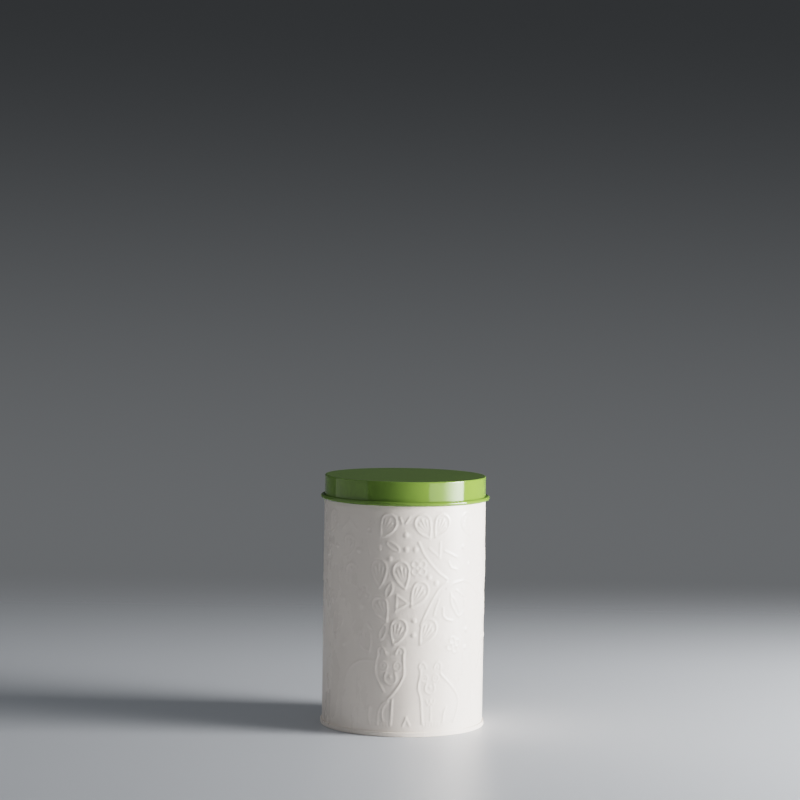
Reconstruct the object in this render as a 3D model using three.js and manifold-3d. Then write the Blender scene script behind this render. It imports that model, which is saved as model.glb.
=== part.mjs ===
// A round tinplate canister for coffee: an embossed body wall with a necked top, a base held on
// by a double seam, the bead of sealing compound inside that seam, and a slip-on lid.
// Millimetres, +Z up. The origin is the centre of the ring that the tin stands on.
// The front of the tin faces -Y and the wall's side seam is at the back, at +Y.

import * as THREE from 'three';
import { mergeVertices } from 'three/addons/utils/BufferGeometryUtils.js';
import Module from 'manifold-3d';

// Overall sizes
const bodyDiameter = 110; // outside of the straight wall, and of the lid's skirt above it
const overallHeight = 170.5; // table to the lid's flat top
const lidHeight = 16.2; // lowest point of the lid's curl to the lid's flat top

// Tinplate
const wallSheet = 0.25;
const baseSheet = 0.25;
const lidSheet = 0.25;

// Fits
const lidClearance = 0.3; // radial, between the lid's skirt and the neck
const lidRestGap = 0.1; // between the neck's rim and the underside of the lid's top
const shoulderGap = 0.3; // between the wall's shoulder and the lid's curl, which hides it
const seamGap = 0.1; // between neighbouring layers of the base seam

// Lid
const lidCurlDiameter = 2.95; // the outward roll along the bottom of the skirt
const lidCurlSweep = THREE.MathUtils.degToRad(310);
const lidCornerRadius = 0.7; // outside, from the flat top to the skirt

// Neck of the body wall
const shoulderBend = 0.8; // bend radius of the step between wall and neck
const rimCurlDiameter = 1.35; // the inward roll along the top of the neck
const rimCurlSweep = THREE.MathUtils.degToRad(255);

// Base and its double seam
const seamHeight = 3.1;
const seamCorner = 0.5; // outside radius along the foot of the seam
const bodyHookTop = 2.15; // height of the free edge of the wall's hook
const sealHeight = 0.35;
const basePanelHeight = 4.4; // underside of the base's flat panel above the table
const basePanelBend = 1;
const baseStepRadius = 42; // the middle of the panel is pressed up inside this radius
const baseStepHeight = 0.7;
const baseStepBend = 0.8;

// Side seam of the body wall: the sheet's two edges fold together and are pressed inwards
const sideSeamWidth = 4;
const sideSeamLayers = 3; // thicknesses of sheet inside the wall
const sideSeamMargin = 1.6; // kept free below the shoulder and above the base panel
const sideGrooveWidth = 0.5;
const sideGrooveDepth = 0.1;

// Fineness of the turned shapes
const turns = 64;
const arcStep = THREE.MathUtils.degToRad(45);
const fineArcStep = THREE.MathUtils.degToRad(26);

const quarter = Math.PI / 2;
const wallRadius = bodyDiameter / 2;

const wasm = await Module();
wasm.setup();

// Points along a path of straight lines and arcs. Each arc is split into steps of about `step`.
function pointsAlong(path, step) {
  const points = [];
  for (const curve of path.curves) {
    const isArc = curve.isEllipseCurve;
    const swept = isArc ? Math.abs(curve.aEndAngle - curve.aStartAngle) : 0;
    const steps = isArc ? Math.max(2, Math.ceil(swept / step)) : 1;
    points.push(...curve.getPoints(steps).slice(points.length ? 1 : 0));
  }
  return points;
}

// The outline of a sheet of the given thickness whose middle follows `points`, run once round.
function sheetOutline(points, thickness) {
  const sides = [[], []];
  points.forEach((point, i) => {
    const before = points[Math.max(i - 1, 0)];
    const after = points[Math.min(i + 1, points.length - 1)];
    const into = point.clone().sub(i ? before : point).normalize();
    const out = after.clone().sub(point).normalize();
    if (!i) into.copy(out);
    if (i === points.length - 1) out.copy(into);
    const along = into.clone().add(out).normalize();
    const reach = thickness / 2 / along.dot(out);
    const normal = new THREE.Vector2(-along.y, along.x).multiplyScalar(reach);
    sides[0].push(point.clone().add(normal));
    sides[1].push(point.clone().sub(normal));
  });
  return [...sides[0], ...sides[1].reverse()];
}

// Turns an outline of (radius, height) points about the Z axis. An outline whose ends aren't on
// the axis is closed on itself.
function turned(outline) {
  const profile = outline.map((p) => p.clone());
  if (THREE.ShapeUtils.area(profile) < 0) profile.reverse();
  const onAxis = profile.some((p) => p.x < 1e-9);
  while (onAxis && !(profile[0].x < 1e-9 && profile.at(-1).x < 1e-9)) {
    profile.push(profile.shift());
  }
  if (!onAxis) profile.push(profile[0].clone());
  return new THREE.LatheGeometry(profile, turns).rotateX(quarter);
}

// A sheet-metal piece of revolution, from the path that the middle of its sheet follows.
function spunSheet(path, thickness, step = arcStep) {
  return turned(sheetOutline(pointsAlong(path, step), thickness));
}

function toSolid(geometry) {
  const bare = geometry.clone();
  bare.deleteAttribute('normal');
  bare.deleteAttribute('uv');
  const merged = mergeVertices(bare, 1e-3);
  return new wasm.Manifold(
    new wasm.Mesh({
      numProp: 3,
      vertProperties: merged.attributes.position.array,
      triVerts: new Uint32Array(merged.index.array),
    }),
  );
}

function toGeometry(solid) {
  const mesh = solid.getMesh();
  const geometry = new THREE.BufferGeometry();
  geometry.setAttribute('position', new THREE.BufferAttribute(mesh.vertProperties, 3));
  geometry.setIndex(new THREE.BufferAttribute(mesh.triVerts, 1));
  geometry.computeVertexNormals();
  return geometry;
}

// Box from its lowest to its highest corner.
function boxBetween(low, high) {
  const size = high.clone().sub(low);
  const centre = low.clone().add(high).multiplyScalar(0.5);
  const box = new THREE.BoxGeometry(size.x, size.y, size.z);
  return box.translate(centre.x, centre.y, centre.z);
}

// Radii of the middle of each layer of the base seam, from the inside out
const seam = {
  plugWall: wallRadius - wallSheet - seamGap - baseSheet / 2,
  bodyWall: wallRadius - wallSheet / 2,
  baseHook: wallRadius + seamGap + baseSheet / 2,
  bodyHook: wallRadius + 2 * seamGap + baseSheet + wallSheet / 2,
  outerWall: wallRadius + 3 * seamGap + 1.5 * baseSheet + wallSheet,
};
const bodyHookFloor = baseSheet + seamGap + wallSheet / 2; // middle of the sheet, at its lowest
const bodyHookBend = (seam.bodyHook - seam.bodyWall) / 2;
const baseHookBend = (seam.outerWall - seam.baseHook) / 2;

// The roll along the bottom of the lid's skirt
const lidCurlBend = (lidCurlDiameter - lidSheet) / 2; // to the middle of the sheet
const lidCurlMiddle = new THREE.Vector2(
  wallRadius - lidSheet / 2 + lidCurlBend,
  overallHeight - lidHeight + lidCurlDiameter / 2,
);

// Neck, from the lid that slips over it. The shoulder reaches up behind the lid's curl.
const neckRadius = wallRadius - lidSheet - lidClearance - wallSheet / 2; // middle of the sheet
const rimHeight = overallHeight - lidSheet - lidRestGap;
const shoulderTurn = Math.acos(1 - (seam.bodyWall - neckRadius) / (2 * shoulderBend));
const shoulderRise = shoulderBend * Math.sin(shoulderTurn); // half of the shoulder's height
const curlToShoulder = lidCurlMiddle.x - (seam.bodyWall + neckRadius + wallSheet) / 2;
const shoulderReach = lidCurlDiameter / 2 + shoulderGap;
const shoulderDrop = Math.sqrt(Math.max(shoulderReach ** 2 - curlToShoulder ** 2, 0));
const shoulderTop = lidCurlMiddle.y - shoulderDrop + shoulderRise;
const shoulderFoot = lidCurlMiddle.y - shoulderDrop - shoulderRise;

function bodyWallPath() {
  const path = new THREE.Path();
  const hookMiddle = (seam.bodyHook + seam.bodyWall) / 2;
  const hookHeight = bodyHookFloor + bodyHookBend;
  path.moveTo(seam.bodyHook, bodyHookTop);
  path.lineTo(seam.bodyHook, hookHeight);
  path.absarc(hookMiddle, hookHeight, bodyHookBend, 0, -Math.PI, true);
  path.absarc(seam.bodyWall - shoulderBend, shoulderFoot, shoulderBend, 0, shoulderTurn, false);
  path.absarc(
    neckRadius + shoulderBend,
    shoulderTop,
    shoulderBend,
    Math.PI + shoulderTurn,
    Math.PI,
    true,
  );
  const curl = (rimCurlDiameter - wallSheet) / 2;
  const curlHeight = rimHeight - rimCurlDiameter / 2;
  path.absarc(neckRadius - curl, curlHeight, curl, 0, rimCurlSweep, false);
  return path;
}

// The folded edges stop short of the neck and the base, where the sheet is notched to a single lap.
function bodyWall() {
  const shell = toSolid(spunSheet(bodyWallPath(), wallSheet));
  const low = basePanelHeight + baseSheet + sideSeamMargin;
  const high = shoulderFoot - sideSeamMargin;
  const insideWall = wallRadius - wallSheet;
  const fold = boxBetween(
    new THREE.Vector3(-sideSeamWidth / 2, insideWall - sideSeamLayers * wallSheet, low),
    new THREE.Vector3(sideSeamWidth / 2, insideWall + wallSheet / 4, high),
  );
  const groove = boxBetween(
    new THREE.Vector3(-sideGrooveWidth / 2, wallRadius - sideGrooveDepth, low),
    new THREE.Vector3(sideGrooveWidth / 2, wallRadius + sideGrooveDepth, high),
  );
  return toGeometry(shell.add(toSolid(fold)).subtract(toSolid(groove)));
}

function basePath() {
  const panel = basePanelHeight + baseSheet / 2;
  const path = new THREE.Path();
  const stepTurn = Math.acos(1 - baseStepHeight / (2 * baseStepBend));
  const stepReach = baseStepBend * Math.sin(stepTurn);
  path.moveTo(0, panel + baseStepHeight);
  path.lineTo(baseStepRadius - stepReach, panel + baseStepHeight);
  path.absarc(
    baseStepRadius - stepReach,
    panel + baseStepHeight - baseStepBend,
    baseStepBend,
    quarter,
    quarter - stepTurn,
    true,
  );
  path.absarc(
    baseStepRadius + stepReach,
    panel + baseStepBend,
    baseStepBend,
    -quarter - stepTurn,
    -quarter,
    false,
  );
  path.absarc(seam.plugWall - basePanelBend, panel - basePanelBend, basePanelBend, quarter, 0, true);
  const foot = seamCorner - baseSheet / 2;
  const footMiddle = baseSheet / 2 + foot;
  path.absarc(seam.plugWall + foot, footMiddle, foot, Math.PI, 3 * quarter, false);
  path.absarc(seam.outerWall - foot, footMiddle, foot, -quarter, 0, false);
  const hookMiddle = (seam.outerWall + seam.baseHook) / 2;
  const hookTop = seamHeight - baseSheet / 2 - baseHookBend;
  path.absarc(hookMiddle, hookTop, baseHookBend, 0, Math.PI, false);
  path.lineTo(seam.baseHook, bodyHookFloor + wallSheet / 2 + 1.5 * seamGap);
  return path;
}

function base() {
  return spunSheet(basePath(), baseSheet);
}

// Bead of compound squeezed between the wall's hook and the fold of the base above it.
function baseSealingRing() {
  const low = bodyHookTop + seamGap;
  const high = low + sealHeight;
  const half = wallSheet / 2;
  return turned([
    new THREE.Vector2(seam.bodyHook - half, low),
    new THREE.Vector2(seam.bodyHook + half, low),
    new THREE.Vector2(seam.bodyHook + half, (low + high) / 2),
    new THREE.Vector2(seam.bodyHook + half / 2, high),
    new THREE.Vector2(seam.bodyHook - half / 2, high),
    new THREE.Vector2(seam.bodyHook - half, (low + high) / 2),
  ]);
}

function lidPath() {
  const skirt = wallRadius - lidSheet / 2;
  const top = overallHeight - lidSheet / 2;
  const corner = lidCornerRadius - lidSheet / 2;
  const path = new THREE.Path();
  path.moveTo(0, top);
  path.lineTo(skirt - corner, top);
  path.absarc(skirt - corner, top - corner, corner, quarter, 0, true);
  path.absarc(lidCurlMiddle.x, lidCurlMiddle.y, lidCurlBend, Math.PI, Math.PI + lidCurlSweep, false);
  return path;
}

function lid() {
  return spunSheet(lidPath(), lidSheet, fineArcStep);
}

const creamEnamel = new THREE.MeshStandardMaterial({
  color: 0xefeae4,
  roughness: 0.32,
  metalness: 0,
});
const greenEnamel = new THREE.MeshStandardMaterial({
  color: 0x7da043,
  roughness: 0.16,
  metalness: 0,
});
const sealCompound = new THREE.MeshStandardMaterial({
  color: 0x6b655c,
  roughness: 0.8,
  metalness: 0,
});

function named(name, geometry, material) {
  const mesh = new THREE.Mesh(geometry, material);
  mesh.name = name;
  return mesh;
}

const canister = new THREE.Group();
canister.add(named('body_wall', bodyWall(), creamEnamel));
canister.add(named('base', base(), creamEnamel));
canister.add(named('base_sealing_ring', baseSealingRing(), sealCompound));
canister.add(named('lid', lid(), greenEnamel));

export default canister;
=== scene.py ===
"""An embossed tinplate canister with a slip-on lid, laid out as an add-on that builds it piece by piece."""

import math

import bpy
import numpy as np
from mathutils import Matrix, Vector


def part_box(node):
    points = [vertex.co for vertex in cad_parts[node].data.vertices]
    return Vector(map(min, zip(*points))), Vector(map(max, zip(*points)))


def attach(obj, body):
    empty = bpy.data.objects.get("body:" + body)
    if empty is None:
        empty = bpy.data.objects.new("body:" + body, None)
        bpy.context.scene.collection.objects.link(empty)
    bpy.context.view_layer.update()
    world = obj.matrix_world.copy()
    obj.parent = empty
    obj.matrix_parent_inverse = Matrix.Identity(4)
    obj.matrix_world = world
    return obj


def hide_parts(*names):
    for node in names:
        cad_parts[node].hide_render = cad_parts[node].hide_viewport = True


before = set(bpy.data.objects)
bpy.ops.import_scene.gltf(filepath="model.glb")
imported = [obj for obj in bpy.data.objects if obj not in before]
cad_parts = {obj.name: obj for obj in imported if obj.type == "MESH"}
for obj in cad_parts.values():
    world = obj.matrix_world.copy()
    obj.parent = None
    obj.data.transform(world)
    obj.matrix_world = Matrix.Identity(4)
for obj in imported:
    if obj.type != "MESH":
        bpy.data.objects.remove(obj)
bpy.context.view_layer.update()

bl_info = {
    "name": "Embossed canister",
    "version": (1, 0, 0),
    "blender": (4, 5, 0),
    "location": "3D View > Sidebar > Canister",
    "description": "Builds a round embossed tinplate canister with a slip-on lid",
    "category": "Add Mesh",
}

MM = 0.001
TIN, LID = "tin", "lid"  # the two bodies of the frame
RING_LOW, RING_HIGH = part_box("base_sealing_ring")
LID_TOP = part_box("lid")[1][2]


# ---------------------------------------------------------------------------------------------
# Sizes and colours that a user would change


class SheetSettings(bpy.types.PropertyGroup):
    """The rolled and pressed tinplate"""

    thickness: bpy.props.FloatProperty(
        name="Sheet", description="Thickness of the tinplate", default=0.25 * MM, unit="LENGTH"
    )
    wall_radius: bpy.props.FloatProperty(
        name="Wall radius", description="Outside radius of the straight wall", default=55 * MM, unit="LENGTH"
    )
    seam_gap: bpy.props.FloatProperty(
        name="Seam gap",
        description="Gap between the layers of the base seam",
        default=0.1 * MM,
        unit="LENGTH",
    )
    lid_clearance: bpy.props.FloatProperty(
        name="Lid clearance", description="Radial gap between skirt and neck", default=0.3 * MM, unit="LENGTH"
    )
    lid_height: bpy.props.FloatProperty(
        name="Lid height",
        description="From the lowest point of the lid's curl to its flat top",
        default=16.2 * MM,
        unit="LENGTH",
    )
    lid_curl: bpy.props.FloatProperty(
        name="Lid curl", description="Diameter of the roll along the skirt", default=2.95 * MM, unit="LENGTH"
    )
    rim_curl: bpy.props.FloatProperty(
        name="Rim curl", description="Diameter of the roll along the neck", default=1.35 * MM, unit="LENGTH"
    )
    seam_height: bpy.props.FloatProperty(
        name="Base seam", description="Height of the double seam", default=3.1 * MM, unit="LENGTH"
    )
    panel_height: bpy.props.FloatProperty(
        name="Base recess",
        description="Height of the base panel's underside",
        default=4.4 * MM,
        unit="LENGTH",
    )


class ReliefSettings(bpy.types.PropertyGroup):
    """The pattern pressed outwards into the wall"""

    columns: bpy.props.IntProperty(
        name="Columns", description="Mesh columns round the wall, a multiple of four", default=504, min=360
    )
    line_width: bpy.props.FloatProperty(
        name="Line width", description="Width of a pressed line at its foot", default=1.9 * MM, unit="LENGTH"
    )
    line_height: bpy.props.FloatProperty(
        name="Line height", description="How far a line stands out", default=0.33 * MM, unit="LENGTH"
    )
    berry_radius: bpy.props.FloatProperty(
        name="Berry radius", description="Radius of a pressed berry", default=2.0 * MM, unit="LENGTH"
    )
    berry_height: bpy.props.FloatProperty(
        name="Berry height", description="How far a berry stands out", default=0.4 * MM, unit="LENGTH"
    )
    margin: bpy.props.FloatProperty(
        name="Seam margin",
        description="Plain strip each side of the side seam",
        default=5 * MM,
        unit="LENGTH",
    )


class FinishSettings(bpy.types.PropertyGroup):
    """Enamels, bare metal and compound"""

    cream: bpy.props.FloatVectorProperty(
        name="Cream enamel",
        description="Stoved enamel of wall and base",
        default=(0.875, 0.79, 0.715),
        subtype="COLOR",
        min=0,
        max=1,
    )
    cream_gloss: bpy.props.FloatProperty(
        name="Cream gloss", description="Roughness of the cream enamel", default=0.27, min=0, max=1
    )
    green: bpy.props.FloatVectorProperty(
        name="Green enamel",
        description="Stoved enamel of the lid",
        default=(0.16, 0.257, 0.048),
        subtype="COLOR",
        min=0,
        max=1,
    )
    green_gloss: bpy.props.FloatProperty(
        name="Green gloss", description="Roughness of the green enamel", default=0.06, min=0, max=1
    )
    tinplate: bpy.props.FloatVectorProperty(
        name="Tinplate",
        description="Lacquered bare metal inside",
        default=(0.62, 0.60, 0.56),
        subtype="COLOR",
        min=0,
        max=1,
    )
    compound: bpy.props.FloatVectorProperty(
        name="Compound",
        description="Sealing compound in the base seam",
        default=(0.15, 0.13, 0.11),
        subtype="COLOR",
        min=0,
        max=1,
    )


class StageSettings(bpy.types.PropertyGroup):
    """Camera, floor and lights"""

    lens: bpy.props.FloatProperty(
        name="Lens", description="Focal length on a 36 mm sensor", default=116.1, subtype="DISTANCE_CAMERA"
    )
    camera_place: bpy.props.FloatVectorProperty(
        name="Camera",
        description="Where the camera stands",
        default=(-4.6 * MM, -1757 * MM, 326 * MM),
        subtype="TRANSLATION",
    )
    camera_tilt: bpy.props.FloatProperty(
        name="Tilt", description="How far the camera looks down", default=math.radians(3.4), unit="ROTATION"
    )
    camera_roll: bpy.props.FloatProperty(
        name="Roll", description="Turn about the line of sight", default=math.radians(0.89), unit="ROTATION"
    )
    floor: bpy.props.FloatVectorProperty(
        name="Floor",
        description="Colour of the floor",
        default=(0.555, 0.573, 0.6),
        subtype="COLOR",
        min=0,
        max=1,
    )
    key: bpy.props.FloatProperty(
        name="Key light", description="Greatest radiance of the softbox on the right", default=16, min=0
    )


class CanisterSettings(bpy.types.PropertyGroup):
    """Everything above in one place"""

    sheet: bpy.props.PointerProperty(type=SheetSettings)
    relief: bpy.props.PointerProperty(type=ReliefSettings)
    finish: bpy.props.PointerProperty(type=FinishSettings)
    stage: bpy.props.PointerProperty(type=StageSettings)


def settings():
    return bpy.context.scene.canister


# ---------------------------------------------------------------------------------------------
# Profiles of sheet metal: points are (radius, height)

ARC_STEP = math.radians(15)


class Profile:
    """The line that the middle of a sheet follows, made of straight stretches and arcs."""

    def __init__(self, *start):
        self.points = [np.array(start, float)]

    def line(self, radius, height):
        self.points.append(np.array((radius, height), float))
        return self

    def arc(self, centre, radius, start, end, step=ARC_STEP):
        """Angles are in degrees, anticlockwise from the outward radius. Joins on with a straight stretch."""
        start, end = math.radians(start), math.radians(end)
        count = max(2, math.ceil(abs(end - start) / step))
        for k in range(count + 1):
            a = start + (end - start) * k / count
            point = np.array((centre[0] + radius * math.cos(a), centre[1] + radius * math.sin(a)))
            if np.linalg.norm(point - self.points[-1]) > 1e-7:
                self.points.append(point)
        return self

    def supported(self, reach=0.25 * MM):
        """The points, with one more near each end of every long stretch, which keeps its shading flat."""
        points = [self.points[0]]
        for here, there in zip(self.points, self.points[1:]):
            length = np.linalg.norm(there - here)
            if length > 4 * reach:
                nudge = (there - here) / length * reach
                points += [here + nudge, there - nudge]
            points.append(there)
        return np.array(points)

    def sides(self, thickness):
        """The sheet's right and left faces, seen along the profile."""
        points = self.supported()
        steps = np.diff(points, axis=0)
        steps /= np.linalg.norm(steps, axis=1, keepdims=True)
        before = np.vstack([steps[:1], steps])
        after = np.vstack([steps, steps[-1:]])
        along = before + after
        along /= np.linalg.norm(along, axis=1, keepdims=True)
        reach = thickness / 2 / np.sum(along * after, axis=1, keepdims=True)
        left = np.stack([-along[:, 1], along[:, 0]], axis=1) * reach
        return points - left, points + left


def curl_middle(sheet):
    """Radius and height of the middle of the roll along the lid's skirt."""
    radius = sheet.wall_radius - sheet.thickness / 2 + (sheet.lid_curl - sheet.thickness) / 2
    return radius, LID_TOP - sheet.lid_height + sheet.lid_curl / 2


class RingMesh:
    """A mesh made of rings about the Z axis. Angle 0 is at the front, -Y, and grows towards +X."""

    def __init__(self, columns):
        self.columns = columns
        self.places = []
        self.faces = []
        self.finishes = []
        self.angles = np.arange(columns) * 2 * math.pi / columns

    def add_points(self, radius, height, angles):
        """Adds one point for each angle, and returns their numbers."""
        first = sum(len(p) for p in self.places)
        radius = np.broadcast_to(radius, angles.shape)
        height = np.broadcast_to(height, angles.shape)
        self.places.append(np.stack([radius * np.sin(angles), -radius * np.cos(angles), height], axis=1))
        return np.arange(first, first + len(angles))

    def ring(self, radius, height):
        if abs(radius) < 1e-9:
            return self.add_points(0.0, height, np.zeros(1))
        return self.add_points(radius, height, self.angles)

    def add_faces(self, faces, finish):
        self.faces.extend(faces)
        self.finishes.extend([finish] * len(faces))

    def bridge(self, below, above, finish):
        """Faces between two rings. They look to the right of the way from the first to the second."""
        count = max(len(below), len(above))
        here = np.arange(count)
        after = (here + 1) % count
        if len(below) == 1:
            corners = (np.full(count, below[0]), above[after], above)
        elif len(above) == 1:
            corners = (below, below[after], np.full(count, above[0]))
        else:
            corners = (below, below[after], above[after], above)
        self.add_faces(np.stack(corners, axis=1).tolist(), finish)

    def sheet(self, profile, thickness, finishes=(0, 1)):
        """A closed sheet along a profile. Its right face has the first finish, and its left the second."""
        right, left = profile.sides(thickness)
        for side in (right, left):
            side[np.abs(side[:, 0]) < 1e-7, 0] = 0
        loop = [(self.ring(*p), finishes[0]) for p in right]
        loop += [(self.ring(*p), finishes[1]) for p in left[::-1]]
        on_axis = right[0][0] == 0
        for (ring, finish), (following, _) in zip(loop, loop[1:]):
            self.bridge(ring, following, finish)
        if not on_axis:
            self.bridge(loop[-1][0], loop[0][0], finishes[1])

    def build(self, name, materials):
        mesh = bpy.data.meshes.new(name)
        mesh.from_pydata(np.concatenate(self.places), [], self.faces)
        mesh.polygons.foreach_set("material_index", self.finishes)
        mesh.polygons.foreach_set("use_smooth", [True] * len(self.faces))
        for material in materials:
            mesh.materials.append(material)
        mesh.validate()
        made = bpy.data.objects.new(name, mesh)
        bpy.context.scene.collection.objects.link(made)
        return made


def layers(sheet):
    """Radii of the middle of each layer of the base seam, from the inside out."""
    radius, gap, t = sheet.wall_radius, sheet.seam_gap, sheet.thickness
    return {
        "plug": radius - gap - 1.5 * t,
        "wall": radius - t / 2,
        "base_hook": radius + gap + t / 2,
        "body_hook": radius + 2 * gap + 1.5 * t,
        "outer": radius + 3 * gap + 2.5 * t,
    }


# ---------------------------------------------------------------------------------------------
# Relief: paths on the unrolled wall, in millimetres from the middle of the front and above the table


def smooth_path(*points, step=0.5):
    """A smooth curve through the points given, with a point about every step."""
    points = np.array(points, float)
    if len(points) == 2:
        count = max(2, math.ceil(np.linalg.norm(points[1] - points[0]) / step))
        return points[0] + (points[1] - points[0]) * np.linspace(0, 1, count + 1)[:, None]
    ends = 2 * points[0] - points[1], 2 * points[-1] - points[-2]
    around = np.vstack([ends[0], points, ends[1]])
    pieces = []
    for a, b, c, d in zip(around, around[1:], around[2:], around[3:]):
        count = max(2, math.ceil(np.linalg.norm(c - b) / step))
        t = np.linspace(0, 1, count, endpoint=False)[:, None]
        pieces.append(
            0.5 * (2 * b + (c - a) * t + (2 * a - 5 * b + 4 * c - d) * t**2 + (3 * b - a - 3 * c + d) * t**3)
        )
    return np.vstack(pieces + [points[-1:]])


def ring_path(centre, radius, start=0, end=360, tall=1.0):
    """Part of a circle, or of an ellipse as many times as tall as it is wide. Angles are in degrees."""
    a = np.radians(np.linspace(start, end, max(6, int(abs(end - start) / 12))))
    return np.stack([centre[0] + radius * np.cos(a), centre[1] + radius * tall * np.sin(a)], axis=1)


def between(tip, top):
    """Turns points with the tip at (0, 0) and the top at (0, 1) into place, and gives the length."""
    tip, top = np.array(tip, float), np.array(top, float)
    up = top - tip
    length = np.linalg.norm(up)
    up /= length
    across = np.array((up[1], -up[0]))
    return lambda x, y: tip + np.outer(x, across) + np.outer(y, up) * length, length


def leaf(tip, top, width, veins=5, lean=0.0):
    """A pointed leaf, round at the top, with a fan of veins that meet towards its tip."""
    place, length = between(tip, top)
    a = np.linspace(0, 2 * math.pi, 49)
    across = width / 2 / 0.77 * np.sin(a) * np.abs(np.sin(a / 2))
    y = (1 - np.cos(a)) / 2
    lines = [(place(across + lean * (1 - y) ** 2 * y * 4, y), 1.0)]
    for k in range(veins):
        spread = (k / (veins - 1) - 0.5) * 2
        turn = math.radians(24) * spread
        start, end = 0.28 + 0.08 * abs(spread), 0.80 - 0.16 * abs(spread)
        marks = np.linspace(start, end, 6) * length
        for part, (here, there) in enumerate(zip(marks, marks[1:])):
            r = np.array((here, there))
            lines.append((place(r * math.sin(turn), r * math.cos(turn) / length), 0.5 + 0.11 * part))
    return lines


def small_leaf(tip, top, width):
    """A plain lens-shaped leaf."""
    place, _ = between(tip, top)
    a = np.linspace(0, 2 * math.pi, 33)
    return [(place(width / 2 * np.sin(a) * np.abs(np.sin(a)) ** 0.3, (1 - np.cos(a)) / 2), 0.85)]


def blossom(centre, size, petals=4, turn=45):
    """Petals round a centre, each a loop."""
    lines = []
    for k in range(petals):
        a = math.radians(turn + 360 * k / petals)
        out = np.array((math.cos(a), math.sin(a)))
        lines.append((ring_path(np.array(centre) + out * size * 0.56, size * 0.36), 0.8))
    return lines


def lines(*paths, scale=1.0):
    return [(smooth_path(*path), scale) for path in paths]


def bear_face(centre, size):
    """Two round ears, two ringed eyes, and a round muzzle with a nose."""
    at = np.array(centre, float)

    def drawn(*points, mirror=1):
        return smooth_path(*[at + np.array((x * mirror, y)) * size for x, y in points])

    strokes, dots = [], []
    for side in (-1, 1):
        ear = drawn((3.4, 9.6), (4.3, 12.2), (6.2, 14.0), (8.4, 13.2), (9.2, 11.0), (8.8, 8.6), mirror=side)
        strokes.append((ear, 0.85))
        strokes.append((drawn((6.1, 11.6), (6.6, 9.6), mirror=side), 0.6))
        strokes.append((ring_path(at + np.array((4.6 * side, 1.4)) * size, 2.5 * size, tall=1.15), 0.65))
        dots.append((tuple(at + np.array((4.3 * side, 1.6)) * size), 0.45))
    left, right = ((-2.6, -2.6), (-3.9, -5.2), (-3.6, -8.6)), ((3.0, -9.8), (4.0, -6.4), (3.0, -3.0))
    muzzle = drawn(*left, (-0.4, -11.0), *right)
    strokes.append((muzzle, 0.8))
    dots.append((tuple(at + np.array((0.0, -5.6)) * size), 0.6))
    return strokes, dots


def feet(*places, height=7.4):
    """Three short toes at each foot."""
    strokes = []
    for x in places:
        for k in (-1, 0, 1):
            strokes.append((smooth_path((x + 1.7 * k, height + 2.6), (x + 1.9 * k, height)), 0.6))
    return strokes


def big_bear():
    """A bear that stands with its body to the left and looks out."""
    strokes, dots = bear_face((-8.4, 46), 1.0)
    strokes += lines(
        ((-17.0, 55.5), (-18.5, 49), (-18.6, 42), (-16, 36), (-12.6, 30.2)),
        ((0.2, 55.5), (0.4, 49), (0.4, 41), (-3, 34), (-8.5, 26.5), (-14, 21), (-16.3, 15), (-16.8, 8)),
        ((-7, 25), (-7.4, 16), (-7.8, 8)),
        ((-9.5, 23.5), (-12.6, 20), (-13.8, 15), (-12.8, 10.5)),
        ((-19.5, 50.4), (-26, 50.6), (-33, 48.5), (-40, 42), (-44, 32), (-45.5, 20), (-45.6, 8.5)),
        ((-23, 19), (-23.2, 13), (-22.4, 8.4)),
        ((-29.5, 20.2), (-33.5, 19.2), (-35.6, 15.5), (-36, 9)),
        ((-31.5, 16.5), (-31.4, 8)),
    )
    strokes += feet(-14.6, -10.2, -20, -40)
    return strokes, dots


def cub():
    """A cub that sits beside the bear."""
    strokes, dots = bear_face((18.6, 38), 0.84)
    strokes += lines(
        ((12, 46), (11.8, 41), (10.5, 33), (12.2, 26), (13, 17), (13.3, 8.8)),
        ((26.2, 42), (30, 38), (35, 33), (39.6, 27.6)),
        ((39.6, 27.6), (41.2, 22), (39.4, 14), (37, 8.6)),
        ((30.8, 19), (29, 15), (28.6, 9)),
    )
    strokes += lines(
        ((16, 24.6), (17.6, 21.2), (19, 24.4)),
        ((19, 24.6), (20.4, 21.2), (22, 24.6)),
        ((19.2, 20.6), (19.4, 17.6)),
        ((19.4, 16), (19.3, 9)),
        scale=0.7,
    )
    strokes += feet(16.3, 22.4, 27.2)
    return strokes, dots


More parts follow.
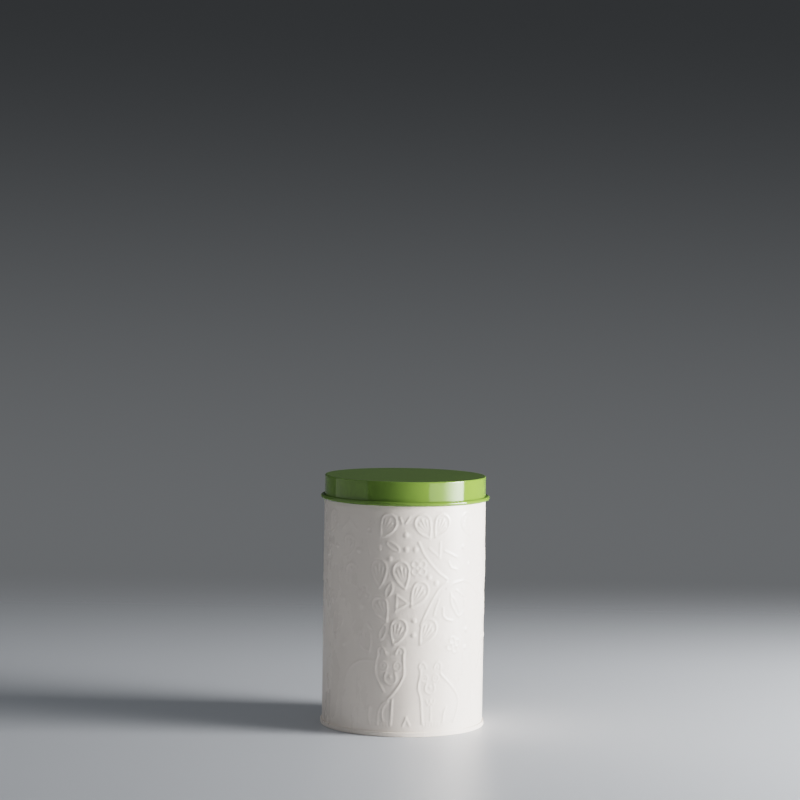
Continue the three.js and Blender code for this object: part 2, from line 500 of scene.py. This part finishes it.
def woodland():
    """Every line, as (path, width), and every dot, as (centre, size), of one repeat of the pattern."""
    strokes = []
    for tip, top, lean in (
        ((-16.2, 133.6), (-8.6, 148.4), 1.2),
        ((17.0, 133.2), (9.8, 148.2), -1.2),
        ((20.8, 133.8), (28.0, 148.0), 1.2),
        ((-17.0, 99.6), (-17.4, 118.4), 0.0),
        ((0.8, 99.4), (-3.4, 117.2), -0.8),
        ((5.0, 87.4), (13.6, 103.4), 1.2),
        ((-11.4, 77.4), (-18.6, 93.2), -1.2),
        ((-6.4, 61.6), (-2.0, 78.8), 0.8),
        ((11.4, 62.0), (19.8, 78.2), 1.2),
        ((-23.2, 56.8), (-29.8, 70.6), -1.0),
        ((-46.0, 118.0), (-38.0, 133.0), 1.2),
        ((-33.0, 99.0), (-40.0, 114.0), -1.2),
        ((-56.0, 66.0), (-49.0, 81.0), 1.2),
        ((-62.0, 133.0), (-55.0, 148.0), 1.2),
        ((-66.0, 97.0), (-73.0, 112.0), -1.2),
        ((-72.0, 54.0), (-65.0, 69.0), 1.2),
        ((52.0, 133.5), (45.0, 148.4), -1.2),
        ((59.0, 104.0), (66.0, 119.0), 1.2),
        ((76.0, 132.0), (69.0, 147.0), -1.2),
        ((54.0, 62.0), (61.0, 77.0), 1.2),
        ((80.0, 76.0), (73.0, 91.0), -1.2),
    ):
        strokes += leaf(tip, top, 10.6, lean=lean)
    for tip, top in (
        ((-12.0, 93.0), (-8.4, 103.0)),
        ((-15.8, 65.0), (-12.2, 74.6)),
        ((-12.0, 130.0), (-3.6, 124.6)),
        ((40.4, 79.6), (33.6, 93.6)),
        ((-50.0, 100.0), (-46.0, 110.0)),
        ((68.0, 60.0), (72.0, 70.0)),
        ((-80.0, 84.0), (-76.0, 94.0)),
        ((60.0, 126.0), (64.0, 136.0)),
    ):
        strokes += small_leaf(tip, top, 3.8)
    strokes += blossom((9.6, 113.2), 6.2)
    strokes += blossom((36.4, 60.6), 6.0, turn=20)
    strokes += blossom((-28.0, 95.2), 5.4, petals=3, turn=90)
    strokes += blossom((-64.0, 122.0), 6.2)
    strokes += blossom((-60.0, 90.0), 5.6, petals=3, turn=30)
    strokes += blossom((72.0, 100.0), 6.2)
    strokes += blossom((-23.0, 140.2), 5.2, petals=2, turn=70)
    strokes += lines(
        ((-4.8, 95), (2.6, 89.6), (2.6, 89.6), (-5.2, 84.8), (-5.2, 84.8), (-4.8, 95)),
        ((-26.2, 130.4), (-24.0, 121.4)),
        ((-3.2, 147.0), (-1.6, 142.4)),
        ((3.0, 147.0), (0.4, 142.6)),
        ((-47.0, 137.6), (-40.4, 143.4), (-40.4, 143.4), (-34.0, 137.8)),
        ((-38.0, 72.0), (-35.2, 76.0)),
        ((-24.4, 75.4), (-20.6, 71.0)),
        scale=0.85,
    )
    strokes += lines(
        ((9.4, 130.4), (13.0, 122.8), (18.0, 115.8), (24.0, 109.6), (30.2, 105.2)),
        ((30.2, 103.2), (24.8, 99.6), (19.6, 92.0), (15.2, 83.4), (11.4, 74.8)),
        ((30.0, 99.0), (36.0, 102.2), (44.2, 103.4)),
        ((45.0, 103.4), (52.0, 101.0), (58.0, 95.0), (61.6, 86.0)),
        ((27.4, 86.0), (27.6, 81.0), (30.4, 78.2), (34.8, 77.0)),
        ((33.4, 95.4), (33.8, 89.0), (36.8, 83.6), (41.0, 79.4), (45.4, 84.0), (45.6, 90.6)),
        ((-80.0, 128.0), (-76.0, 118.0), (-79.0, 106.0), (-84.0, 98.0)),
        ((80.0, 122.0), (84.0, 112.0), (82.0, 102.0)),
        ((-52.0, 62.0), (-58.0, 52.0), (-60.0, 38.0), (-59.0, 22.0), (-60.0, 8.0)),
        ((-76.0, 48.0), (-73.0, 34.0), (-74.0, 20.0), (-72.0, 8.0)),
        ((52.0, 54.0), (56.0, 42.0), (55.0, 28.0), (57.0, 8.0)),
        ((72.0, 52.0), (68.0, 40.0), (70.0, 24.0), (68.0, 8.0)),
    )
    strokes += lines(
        ((16.8, 126.4), (24.2, 119.6)),
        ((24.6, 130.0), (24.2, 119.8)),
        ((28.0, 124.2), (38.4, 119.4)),
        ((31.2, 116.6), (33.6, 112.8), (38.4, 111.4)),
        ((24.2, 92.0), (22.2, 87.0), (20.6, 81.2)),
        ((38.0, 97.4), (45.4, 92.6)),
        ((0.4, 7.6), (2.6, 12.6), (2.6, 12.6), (5.0, 7.6)),
        ((-66.0, 46.0), (-67.0, 34.0)),
        ((-66.0, 26.0), (-65.4, 14.0)),
        ((62.0, 48.0), (62.6, 34.0)),
        ((62.6, 26.0), (62.0, 12.0)),
        ((46.0, 48.0), (45.0, 40.0)),
        scale=0.85,
    )
    dots = [
        (centre, 1.0)
        for centre in (
            (0.6, 135.2),
            (-17.0, 126.4),
            (1.0, 125.6),
            (7.2, 125.6),
            (-10.0, 119.0),
            (16.8, 107.0),
            (21.8, 103.0),
            (7.0, 78.2),
            (6.6, 68.4),
            (-32.0, 124.0),
            (-53.0, 125.0),
            (-30.0, 86.0),
            (-45.0, 91.0),
            (-44.0, 60.0),
            (-74.0, 78.0),
            (-52.0, 140.0),
            (58.0, 92.0),
            (50.0, 114.0),
            (66.0, 86.0),
            (44.0, 126.0),
            (60.0, 140.0),
            (48.0, 70.0),
            (47.6, 58.0),
            (84.0, 62.0),
        )
    ]
    for figure_strokes, figure_dots in (big_bear(), cub()):
        strokes += figure_strokes
        dots += figure_dots
    return strokes, dots


class Relief:
    """How far the wall stands out, on a grid of its columns and rows. Lengths are in millimetres."""

    def __init__(self, columns, rows, low, high, round_length):
        self.step = round_length / columns, (high - low) / rows
        self.low = low
        self.height = np.zeros((rows + 1, columns))
        self.columns = columns
        self.rows = rows

    def stamp(self, start, end, reach, shape):
        """Raises the grid round a stretch of line to what shape gives for the distance from it."""
        start, end = np.array(start, float), np.array(end, float)
        least, most = np.minimum(start, end) - reach, np.maximum(start, end) + reach
        cols = np.arange(math.floor(least[0] / self.step[0]), math.ceil(most[0] / self.step[0]) + 1)
        first = max(0, math.floor((least[1] - self.low) / self.step[1]))
        last = min(self.rows, math.ceil((most[1] - self.low) / self.step[1]))
        rows = np.arange(first, last + 1)
        if not len(rows):
            return
        x = cols[None, :] * self.step[0] - start[0]
        y = self.low + rows[:, None] * self.step[1] - start[1]
        way = end - start
        along = np.clip((x * way[0] + y * way[1]) / max(way @ way, 1e-12), 0, 1)
        away = np.hypot(x - along * way[0], y - along * way[1])
        spot = np.ix_(rows, cols % self.columns)
        self.height[spot] = np.maximum(self.height[spot], shape(away))

    def line(self, path, reach, height):
        """Presses a rounded line that reaches this far to each side of its path."""

        def rounded(away):
            return height * np.clip(1 - (away / reach) ** 2, 0, None) ** 1.3

        for start, end in zip(path, path[1:]):
            self.stamp(start, end, reach, rounded)

    def dot(self, centre, radius, height):
        """Presses a round dome."""

        def domed(away):
            return height * np.clip(1 - (away / radius) ** 2, 0, None) ** 0.8

        self.stamp(centre, centre, radius, domed)


# ---------------------------------------------------------------------------------------------
# Shaders


class Socket:
    """A node's output. Arithmetic on it adds Math nodes."""

    def __init__(self, shader, output):
        self.shader = shader
        self.output = output

    def math(self, operation, *values, clamp=False):
        sockets = dict(enumerate(values))
        return self.shader.add("ShaderNodeMath", {"operation": operation, "use_clamp": clamp}, sockets)

    def __add__(self, other):
        return self.math("ADD", self, other)

    def __sub__(self, other):
        return self.math("SUBTRACT", self, other)

    def __mul__(self, other):
        return self.math("MULTIPLY", self, other)

    def __radd__(self, other):
        return self.math("ADD", other, self)

    def __rsub__(self, other):
        return self.math("SUBTRACT", other, self)

    def __rmul__(self, other):
        return self.math("MULTIPLY", other, self)

    def clamped(self):
        return self.math("ADD", self, 0.0, clamp=True)

    def ramp(self, low, high):
        """0 below low, 1 above high, and a smooth rise between them."""
        values = {"Value": self, "From Min": low, "From Max": high}
        return self.shader.add("ShaderNodeMapRange", {"interpolation_type": "SMOOTHSTEP"}, values)


class Shader:
    """The node tree of a material, world or light."""

    def __init__(self, owner):
        owner.use_nodes = True
        self.tree = owner.node_tree
        self.tree.nodes.clear()

    def node(self, kind, settings=None, sockets=None):
        made = self.tree.nodes.new(kind)
        for name, value in (settings or {}).items():
            setattr(made, name, value)
        for name, value in (sockets or {}).items():
            if isinstance(value, Socket):
                self.tree.links.new(value.output, made.inputs[name])
            else:
                made.inputs[name].default_value = value
        return made

    def add(self, kind, settings=None, sockets=None, output=0):
        return Socket(self, self.node(kind, settings, sockets).outputs[output])

    def mix(self, factor, first, second):
        """A colour between two colours."""
        colours = {0: factor, 6: self.colour(first), 7: self.colour(second)}
        return self.add("ShaderNodeMix", {"data_type": "RGBA"}, colours, output=2)

    @staticmethod
    def colour(value):
        return value if isinstance(value, Socket) else (*value[:3], 1.0)

    def place(self):
        """Where a point is on the object, in metres."""
        return self.add("ShaderNodeTexCoord", output="Object")

    def noise(self, size, detail=2.0, roughness=0.5, stretch=None):
        """Noise with features of about the size given, in metres, from 0 to 1."""
        place = self.place()
        if stretch is not None:
            values = {0: place, 1: stretch}
            place = self.add("ShaderNodeVectorMath", {"operation": "MULTIPLY"}, values)
        sockets = {"Vector": place, "Scale": 1 / size, "Detail": detail, "Roughness": roughness}
        return self.add("ShaderNodeTexNoise", {}, sockets)

    def bump(self, height, distance, strength=1.0):
        """A normal bent by a height from 0 to 1 that stands for a distance in metres."""
        sockets = {"Height": height, "Distance": distance, "Strength": strength}
        return self.add("ShaderNodeBump", {}, sockets)

    def surface(self, **sockets):
        """The finished surface. Names are those of the Principled node with _ for a space."""
        values = {name.replace("_", " "): value for name, value in sockets.items()}
        made = self.add("ShaderNodeBsdfPrincipled", {}, values)
        self.node("ShaderNodeOutputMaterial", {}, {"Surface": made})


def new_material(name):
    material = bpy.data.materials.new(name)
    return material, Shader(material)


# The tiny specks in each enamel
CREAM_SPECK = 0.5, 0.46, 0.4
GREEN_SPECK = 0.1, 0.2, 0.03


def enamel(name, colour, gloss, speck_colour):
    """Stoved gloss enamel over tinplate: a smooth coat with a faint orange peel and a few specks."""
    material, s = new_material(name)
    cloud = s.noise(0.03, detail=3.0)
    lighter = tuple(min(1.0, c * 1.03) for c in colour)
    base = s.mix(cloud.ramp(0.3, 0.75), colour, lighter)
    specks = s.noise(0.0011, detail=1.0).ramp(0.79, 0.86)
    base = s.mix(specks * 0.35, base, speck_colour)
    smears = s.noise(0.018, detail=4.0, roughness=0.6, stretch=(1.0, 1.0, 0.45))
    roughness = gloss + smears.ramp(0.35, 0.8) * 0.05
    peel = s.noise(0.0026, detail=2.0)
    grain = s.noise(0.0006, detail=1.0)
    normal = s.bump(peel + grain * 0.12, distance=0.00003, strength=0.6)
    s.surface(Base_Color=base, Roughness=roughness, Normal=normal, IOR=1.5)
    return material


def bare_tinplate(name, colour):
    """Bright tinplate under a clear lacquer, with the faint lines of the rolling mill."""
    material, s = new_material(name)
    rolled = s.noise(0.0009, detail=3.0, roughness=0.6, stretch=(1.0, 1.0, 0.03))
    cloud = s.noise(0.012, detail=2.0)
    darker = tuple(c * 0.82 for c in colour)
    base = s.mix(rolled.ramp(0.3, 0.7) * 0.5 + cloud * 0.3, colour, darker)
    roughness = 0.24 + rolled * 0.14
    normal = s.bump(rolled, distance=0.00001, strength=0.5)
    s.surface(Base_Color=base, Metallic=1.0, Roughness=roughness, Normal=normal)
    return material


def compound(name, colour):
    """Rubbery sealing compound, dull and slightly lumpy."""
    material, s = new_material(name)
    lumps = s.noise(0.0012, detail=3.0)
    base = s.mix(lumps, colour, tuple(c * 0.7 for c in colour))
    s.surface(Base_Color=base, Roughness=0.75 + lumps * 0.15, Normal=s.bump(lumps, distance=0.00006))
    return material


def finish(name):
    """A finish by name, made the first time that it is asked for."""
    full_name = f"canister_{name}"
    if full_name in bpy.data.materials:
        return bpy.data.materials[full_name]
    looks = settings().finish
    if name == "cream":
        return enamel(full_name, tuple(looks.cream), looks.cream_gloss, CREAM_SPECK)
    if name == "green":
        return enamel(full_name, tuple(looks.green), looks.green_gloss, GREEN_SPECK)
    if name == "tinplate":
        return bare_tinplate(full_name, tuple(looks.tinplate))
    if name == "compound":
        return compound(full_name, tuple(looks.compound))
    raise ValueError(f"no finish is called {name}")


# ---------------------------------------------------------------------------------------------
# Pieces: one operator each

BLOCK = 4  # columns and rows of the fine grid in one coarse face
FINE_COLUMNS = 360  # round the base and the lid


class WallMesh(RingMesh):
    """The wall's mesh: coarse rings, and between them a fine grid where something is pressed."""

    def __init__(self, columns):
        super().__init__(columns // BLOCK)
        self.fine_angles = np.arange(columns) * 2 * math.pi / columns

    def patch(self, radius, heights, rise, plain, stride, finish, inwards):
        """A face of the sheet over the pressed stretch. Plain blocks become one face each.

        Returns the grid's lowest and highest rows, which hold -1 where there is no point.
        """
        columns = rise.shape[1]
        used = np.zeros(rise.shape, bool)
        used[::BLOCK, ::BLOCK] = True
        for i, j in np.argwhere(~plain) * BLOCK:
            cols = np.arange(j, j + BLOCK + 1, stride) % columns
            used[np.ix_(np.arange(i, i + BLOCK + 1, stride), cols)] = True
        row, column = np.nonzero(used)
        number = np.full(rise.shape, -1)
        angles = self.fine_angles[column]
        number[row, column] = self.add_points(radius + rise[row, column], heights[row], angles)
        faces = []
        for (i, j), is_plain in np.ndenumerate(plain):
            low, left = i * BLOCK, j * BLOCK
            if is_plain:
                faces.append(self.rim_of(number, low, left))
                continue
            for a in range(low, low + BLOCK, stride):
                for b in range(left, left + BLOCK, stride):
                    right = (b + stride) % columns
                    corners = (a, b), (a, right), (a + stride, right), (a + stride, b)
                    faces.append([number[c] for c in corners])
        if inwards:
            faces = [face[::-1] for face in faces]
        self.add_faces(faces, finish)
        return number[0], number[-1]

    @staticmethod
    def rim_of(number, low, left):
        """The points in use round a block, anticlockwise."""
        columns = number.shape[1]
        steps = range(BLOCK)
        rim = [(low, left + k) for k in steps]
        rim += [(low + k, left + BLOCK) for k in steps]
        rim += [(low + BLOCK, left + BLOCK - k) for k in steps]
        rim += [(low + BLOCK - k, left) for k in steps]
        points = [number[r, c % columns] for r, c in rim]
        return [int(p) for p in points if p >= 0]

    def bridge(self, below, above, finish):
        """Joins coarse rings, or a coarse ring and a row of the fine grid."""
        if len(below) == len(above):
            super().bridge(below, above, finish)
            return
        faces = [self.run(below, k) + self.run(above, k)[::-1] for k in range(self.columns)]
        self.add_faces(faces, finish)

    def run(self, ring, column):
        """A ring's points from one coarse column to the next."""
        step = len(ring) // self.columns
        points = [ring[(column * step + k) % len(ring)] for k in range(step + 1)]
        return [int(p) for p in points if p >= 0]


class CANISTER_OT_wall(bpy.types.Operator):
    """Builds the rolled wall with its pressed pattern, neck, rim and side seam"""

    bl_idname = "canister.wall"
    bl_label = "Embossed wall"

    hook_top = 2.15 * MM  # height of the sheet's end, inside the base seam
    shoulder_bend = 0.8 * MM
    shoulder_gap = 0.3 * MM  # between the shoulder and the lid's curl
    rim_gap = 0.1 * MM  # between the rim and the inside of the lid's top
    rim_turn = 255  # how far round the rim curls, in degrees
    straight_low = 3.8 * MM  # the pressed stretch starts just above the base seam
    straight_margin = 0.3 * MM  # and ends this far below the shoulder
    side_margin = 1.6 * MM  # kept free of the side seam's fold at both of its ends
    least_rise = 0.004  # millimetres; below this a place counts as plain
    fold_width = 4 * MM
    fold_depth = 0.55 * MM
    groove_depth = 0.14 * MM

    def profile(self, sheet):
        """The profile in two parts: the hook up to the straight wall, and the shoulder up to the rim."""
        radii, t = layers(sheet), sheet.thickness
        bend = (radii["body_hook"] - radii["wall"]) / 2
        hook = (radii["body_hook"] + radii["wall"]) / 2, 1.5 * t + sheet.seam_gap + bend
        foot = Profile(radii["body_hook"], self.hook_top).arc(hook, bend, 0, -180)
        neck = sheet.wall_radius - 1.5 * t - sheet.lid_clearance
        shoulder = self.shoulder_bend
        turn = math.acos(1 - (radii["wall"] - neck) / (2 * shoulder))
        rise = shoulder * math.sin(turn)
        curl_radius, curl_height = curl_middle(sheet)
        beside = curl_radius - (radii["wall"] + neck + t) / 2
        drop = math.sqrt(max((sheet.lid_curl / 2 + self.shoulder_gap) ** 2 - beside**2, 0))
        top, low = curl_height - drop + rise, curl_height - drop - rise
        turn = math.degrees(turn)
        head = Profile(radii["wall"], low)
        head.arc((radii["wall"] - shoulder, low), shoulder, 0, turn)
        head.arc((neck + shoulder, top), shoulder, 180 + turn, 180)
        curl = (sheet.rim_curl - t) / 2
        rim = LID_TOP - t - self.rim_gap
        head.arc((neck - curl, rim - sheet.rim_curl / 2), curl, 0, self.rim_turn)
        return foot, head

    def relief(self, sheet, relief, low, high):
        """The pressed pattern twice round, cut back at the side seam."""
        columns = relief.columns - relief.columns % BLOCK
        round_mm = 2 * math.pi * sheet.wall_radius / MM
        rows = round((high - low) / MM / (round_mm / columns) / BLOCK) * BLOCK
        made = Relief(columns, rows, low / MM, high / MM, round_mm)
        strokes, dots = woodland()
        reach, height = relief.line_width / MM / 2, relief.line_height / MM
        for shift in (0, round_mm / 2):
            for path, scale in strokes:
                made.line(path + np.array((shift, 0)), reach * scale, height * scale)
            for (x, y), size in dots:
                made.dot((x + shift, y), relief.berry_radius / MM * size, relief.berry_height / MM * size)
        angle = np.arange(columns) * 2 * math.pi / columns
        from_seam = np.abs(angle - math.pi) * sheet.wall_radius / MM
        margin = relief.margin / MM
        made.height *= np.clip((from_seam - margin) / 2, 0, 1)[None, :]
        return made, from_seam

    @staticmethod
    def plain_blocks(fine):
        """Which blocks have nothing pressed in them, their edges included."""
        around = np.concatenate([fine, fine[:, :1]], axis=1)
        plain = np.ones((len(fine) // BLOCK, fine.shape[1] // BLOCK), bool)
        for i, j in np.ndindex(plain.shape):
            rows, columns = (slice(k * BLOCK, (k + 1) * BLOCK + 1) for k in (i, j))
            plain[i, j] = not around[rows, columns].any()
        return plain

    def execute(self, context):
        sheet, relief = settings().sheet, settings().relief
        radii, t = layers(sheet), sheet.thickness
        foot, head = self.profile(sheet)
        low, high = self.straight_low, head.points[0][1] - self.straight_margin
        made, from_seam = self.relief(sheet, relief, low, high)
        heights = np.linspace(low, high, made.rows + 1)
        inside = made.height.copy()
        fold_low = sheet.panel_height + t + self.side_margin
        fold_high = head.points[0][1] - self.side_margin
        ends = np.minimum(heights - fold_low, fold_high - heights) / MM
        along = np.clip(ends + 0.5, 0, 1)[:, None]
        inside -= along * np.clip((self.fold_width / MM / 2 - from_seam) + 0.5, 0, 1) * self.fold_depth / MM
        outside = made.height - along * np.clip(1 - from_seam / 0.5, 0, 1) * self.groove_depth / MM
        wall = WallMesh(made.columns)
        fine = np.maximum(np.abs(outside), np.abs(inside)) > self.least_rise
        plain = self.plain_blocks(fine)
        outer, inner = sheet.wall_radius, sheet.wall_radius - t
        outer_ends = wall.patch(outer, heights, outside * MM, plain, 1, 0, False)
        inner_ends = wall.patch(inner, heights, inside * MM, plain, 2, 1, True)
        foot_sides, head_sides = foot.sides(t), head.sides(t)
        loop = [(wall.ring(*p), 0) for p in foot_sides[0]]
        loop += [(outer_ends[0], None), (outer_ends[1], 0)]
        loop += [(wall.ring(*p), 0) for p in head_sides[0]]
        loop += [(wall.ring(*p), 1) for p in head_sides[1][::-1]]
        loop += [(inner_ends[1], None), (inner_ends[0], 1)]
        loop += [(wall.ring(*p), 1) for p in foot_sides[1][::-1]]
        for (ring, kind), (following, _) in zip(loop, loop[1:] + loop[:1]):
            if kind is not None:
                wall.bridge(ring, following, kind)
        built = wall.build("embossed_wall", [finish("cream"), finish("tinplate")])
        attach(built, TIN)
        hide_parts("body_wall")
        return {"FINISHED"}


class CANISTER_OT_base(bpy.types.Operator):
    """Builds the pressed base and the seam rolled round the wall's foot"""

    bl_idname = "canister.base"
    bl_label = "Base and double seam"

    step_radius = 42 * MM  # of the raised middle
    step_height = 0.7 * MM
    step_bend = 0.8 * MM
    panel_bend = 1 * MM  # where the panel turns down into the seam
    corner = 0.5 * MM  # of the seam's foot

    def execute(self, context):
        sheet = settings().sheet
        radii, t = layers(sheet), sheet.thickness
        panel = sheet.panel_height + t / 2
        turn = math.acos(1 - self.step_height / (2 * self.step_bend))
        reach = self.step_bend * math.sin(turn)
        turn = math.degrees(turn)
        path = Profile(0, panel + self.step_height)
        for share in (0.3, 0.6, 0.9):
            path.line(self.step_radius * share, panel + self.step_height)
        inner = self.step_radius - reach, panel + self.step_height - self.step_bend
        outer = self.step_radius + reach, panel + self.step_bend
        path.arc(inner, self.step_bend, 90, 90 - turn)
        path.arc(outer, self.step_bend, -90 - turn, -90)
        path.arc((radii["plug"] - self.panel_bend, panel - self.panel_bend), self.panel_bend, 90, 0)
        foot = self.corner - t / 2
        path.arc((radii["plug"] + foot, t / 2 + foot), foot, 180, 270)
        path.arc((radii["outer"] - foot, t / 2 + foot), foot, -90, 0)
        bend = (radii["outer"] - radii["base_hook"]) / 2
        middle = (radii["outer"] + radii["base_hook"]) / 2
        path.arc((middle, sheet.seam_height - t / 2 - bend), bend, 0, 180)
        path.line(radii["base_hook"], 1.5 * t + 2.5 * sheet.seam_gap + t / 2)
        base = RingMesh(FINE_COLUMNS)
        base.sheet(path, t)
        built = base.build("base_end", [finish("cream"), finish("tinplate")])
        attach(built, TIN)
        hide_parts("base")
        return {"FINISHED"}


class CANISTER_OT_sealing_ring(bpy.types.Operator):
    """Builds the bead of compound squeezed into the base seam"""

    bl_idname = "canister.sealing_ring"
    bl_label = "Sealing compound"

    def execute(self, context):
        sheet = settings().sheet
        radius, half = layers(sheet)["body_hook"], sheet.thickness / 2
        low, high = RING_LOW[2], RING_HIGH[2]
        ring = RingMesh(FINE_COLUMNS // 2)
        outline = [(radius - half, low), (radius + half, low), (radius + half, (low + high) / 2)]
        outline += [(radius + half / 2, high), (radius - half / 2, high), (radius - half, (low + high) / 2)]
        rings = [ring.ring(*p) for p in outline]
        for this, following in zip(rings, rings[1:] + rings[:1]):
            ring.bridge(this, following, 0)
        built = ring.build("sealing_bead", [finish("compound")])
        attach(built, TIN)
        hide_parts("base_sealing_ring")
        return {"FINISHED"}


class CANISTER_OT_lid(bpy.types.Operator):
    """Builds the lid with its plain top, straight skirt and outward curl"""

    bl_idname = "canister.lid"
    bl_label = "Slip-on lid"

    corner = 0.7 * MM
    curl_end = 490  # the curl starts at 180 degrees, at the skirt, and goes round to here

    def execute(self, context):
        sheet = settings().sheet
        t = sheet.thickness
        skirt, top = sheet.wall_radius - t / 2, LID_TOP - t / 2
        corner, curl = self.corner - t / 2, (sheet.lid_curl - t) / 2
        path = Profile(0, top)
        for share in (0.3, 0.6, 0.9):
            path.line(skirt * share, top)
        path.arc((skirt - corner, top - corner), corner, 90, 0)
        path.arc(curl_middle(sheet), curl, 180, self.curl_end)
        lid = RingMesh(FINE_COLUMNS)
        lid.sheet(path, t, finishes=(0, 0))
        built = lid.build("lid_cap", [finish("green")])
        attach(built, LID)
        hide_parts("lid")
        return {"FINISHED"}


def polar(azimuth, distance, height):
    """A place at an azimuth from the front, in degrees towards +X."""
    a = math.radians(azimuth)
    return Vector((distance * math.sin(a), -distance * math.cos(a), height))


class CANISTER_OT_stage(bpy.types.Operator):
    """Builds the floor, the lights, the background and the camera"""

    bl_idname = "canister.stage"
    bl_label = "Floor, lights and camera"

    side_fill = 0.3  # radiance of the fill on the left
    floor_rings = 2.4, 1.2, 0.6, 0.3, 0.0  # radii
    low_sky = 0.115, 0.12, 0.125
    level_sky = 0.034, 0.036, 0.038
    high_sky = 0.22, 0.235, 0.25

    def softbox(self, name, azimuth, distance, top, span, radiance, glow=None):
        """An upright area light from the floor to its top. It fills a span of azimuths, seen from the tin."""
        data = bpy.data.lights.new(name, "AREA")
        data.shape = "RECTANGLE"
        data.size = 2 * distance * math.tan(math.radians(span / 2))
        data.size_y = top
        data.energy = radiance * math.pi * data.size * data.size_y
        if glow is not None:
            s = Shader(data)
            spot = s.add("ShaderNodeNewGeometry", output="Parametric")
            split = s.node("ShaderNodeSeparateXYZ", {}, {0: spot})
            across, up = (Socket(s, split.outputs[name]) for name in "XY")
            lit = s.add("ShaderNodeEmission", {}, {"Strength": glow(across, up)})
            s.node("ShaderNodeOutputLight", {}, {"Surface": lit})
        light = bpy.data.objects.new(name, data)
        place = polar(azimuth, distance, top / 2)
        aim = Vector((0, 0, place.z)) - place
        light.matrix_world = Matrix.Translation(place) @ aim.to_track_quat("-Z", "Y").to_matrix().to_4x4()
        light.visible_camera = False
        bpy.context.scene.collection.objects.link(light)
        return light

    def floor(self, stage):
        """A round floor that fades out towards its edge and behind the tin."""
        floor = RingMesh(96)
        rings = [floor.ring(r, 0.0) for r in self.floor_rings]
        for outer, inner in zip(rings, rings[1:]):
            floor.bridge(outer, inner, 0)
        material, s = new_material("floor_paint")
        place = s.place()
        away = s.add("ShaderNodeVectorMath", {"operation": "LENGTH"}, {0: place}, output="Value")
        behind = s.add("ShaderNodeSeparateXYZ", {}, {0: place}, output="Y")
        cloud = s.noise(0.25, detail=2.0)
        tone = tuple(stage.floor)
        base = s.mix(cloud, tone, tuple(c * 0.97 for c in tone))
        paint = s.add("ShaderNodeBsdfPrincipled", {}, {"Base Color": base, "Roughness": 0.42})
        clear = s.add("ShaderNodeBsdfTransparent")
        gone = (away.ramp(0.8, 2.2) + behind.ramp(0.2, 0.8)).clamped()
        seen = s.add("ShaderNodeMixShader", {}, {0: gone, 1: paint, 2: clear})
        s.node("ShaderNodeOutputMaterial", {}, {"Surface": seen})
        built = floor.build("floor", [material])

    def background(self):
        """A surround that is lightest below, darkest just above the horizon, and light overhead."""
        world = bpy.data.worlds.new("studio")
        bpy.context.scene.world = world
        s = Shader(world)
        look = s.add("ShaderNodeTexCoord", output="Generated")
        upward = s.add("ShaderNodeSeparateXYZ", {}, {0: look}, output="Z")
        shade = s.mix(upward.ramp(-0.12, 0.10), self.low_sky, self.level_sky)
        shade = s.mix(upward.ramp(0.25, 0.9), shade, self.high_sky)
        lit = s.add("ShaderNodeBackground", {}, {"Color": shade, "Strength": 1.0})
        s.node("ShaderNodeOutputWorld", {}, {"Surface": lit})

    def execute(self, context):
        stage = settings().stage
        self.floor(stage)
        self.background()

        def glow(across, up):
            """Brightness at a place on the key light. Its foot lights the floor and shows in the lid."""
            low = 0.12 + 0.96 * across.ramp(0.3, 0.85) - 0.2 * across.ramp(0.85, 1.0)
            high = 3.8 * across.ramp(0.4, 0.82) * (1 - 0.5 * up.ramp(0.55, 1.0))
            above = up.ramp(0.18, 0.3)
            return low * (1 - above) + high * above

        self.softbox("key", azimuth=61.3, distance=1.0, top=0.6, span=56.5, radiance=stage.key, glow=glow)
        self.softbox("side_fill", azimuth=-85, distance=1.2, top=1.1, span=62, radiance=self.side_fill)
        data = bpy.data.cameras.new("camera")
        data.lens = stage.lens
        data.sensor_width = 36
        data.clip_start, data.clip_end = 0.01, 20
        camera = bpy.data.objects.new("camera", data)
        camera.matrix_world = (
            Matrix.Translation(stage.camera_place)
            @ Matrix.Rotation(math.pi / 2 - stage.camera_tilt, 4, "X")
            @ Matrix.Rotation(stage.camera_roll, 4, "Z")
        )
        context.scene.collection.objects.link(camera)
        context.scene.camera = camera
        context.scene.view_settings.view_transform = "Filmic"
        context.scene.view_settings.look = "Medium High Contrast"
        return {"FINISHED"}


class CANISTER_PT_panel(bpy.types.Panel):
    """Lists the pieces in the order they are built"""

    bl_idname = "CANISTER_PT_panel"
    bl_label = "Embossed canister"
    bl_space_type = "VIEW_3D"
    bl_region_type = "UI"
    bl_category = "Canister"

    def draw(self, context):
        for group in ("sheet", "relief", "finish", "stage"):
            box = self.layout.box()
            box.label(text=group.capitalize())
            values = getattr(context.scene.canister, group)
            for name in values.bl_rna.properties.keys():
                if name not in {"rna_type", "name"}:
                    box.prop(values, name)
        for piece in PIECES:
            self.layout.operator(piece.bl_idname)


PIECES = (
    CANISTER_OT_wall,
    CANISTER_OT_base,
    CANISTER_OT_sealing_ring,
    CANISTER_OT_lid,
    CANISTER_OT_stage,
)
CLASSES = (
    SheetSettings,
    ReliefSettings,
    FinishSettings,
    StageSettings,
    CanisterSettings,
    *PIECES,
    CANISTER_PT_panel,
)


def register():
    for kind in CLASSES:
        bpy.utils.register_class(kind)
    bpy.types.Scene.canister = bpy.props.PointerProperty(type=CanisterSettings)


def unregister():
    del bpy.types.Scene.canister
    for kind in reversed(CLASSES):
        bpy.utils.unregister_class(kind)


def main():
    register()
    bpy.ops.canister.wall()
    bpy.ops.canister.base()
    bpy.ops.canister.sealing_ring()
    bpy.ops.canister.lid()
    bpy.ops.canister.stage()


if __name__ == "__main__":
    main()
